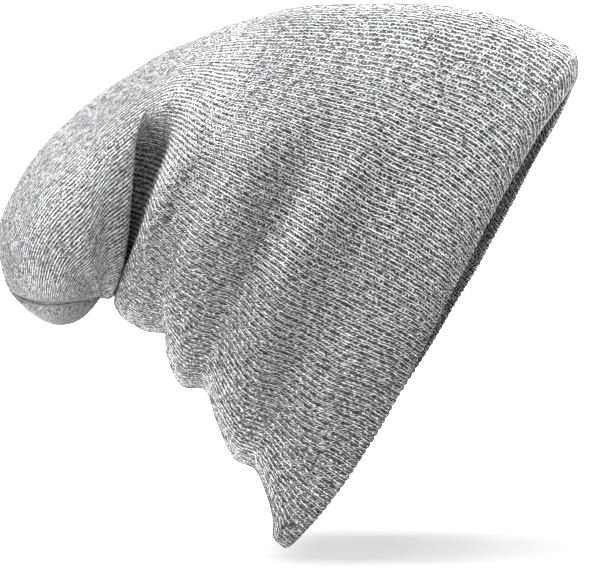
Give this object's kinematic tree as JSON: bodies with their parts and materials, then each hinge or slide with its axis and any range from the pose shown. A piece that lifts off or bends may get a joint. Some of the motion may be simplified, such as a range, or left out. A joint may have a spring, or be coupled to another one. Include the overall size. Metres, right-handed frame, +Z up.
{
  "type": "slouch beanie",
  "caption": "Long uncuffed knitted beanie worn slouched, with a plain rounded hem, soft folds at the back, one deep tuck and a hanging pouch closed by a crown seam.",
  "frame": {"origin": "middle of the head opening, on the line from the hem's forehead point to its nape point", "axes": "+X towards the forehead side, +Z up as worn, -Y the wearer's right side; the opening faces forwards and down, 31 degrees below +X"},
  "size_m": [0.2194, 0.1493, 0.2068],
  "materials": {
    "rib_knit": "matte, fine one-by-one rib in light grey marl",
    "seam_yarn": "matte yarn"
  },
  "bodies": {
    "root": {"knit_body": "rib_knit", "crown_seam": "seam_yarn"}
  },
  "joints": []
}
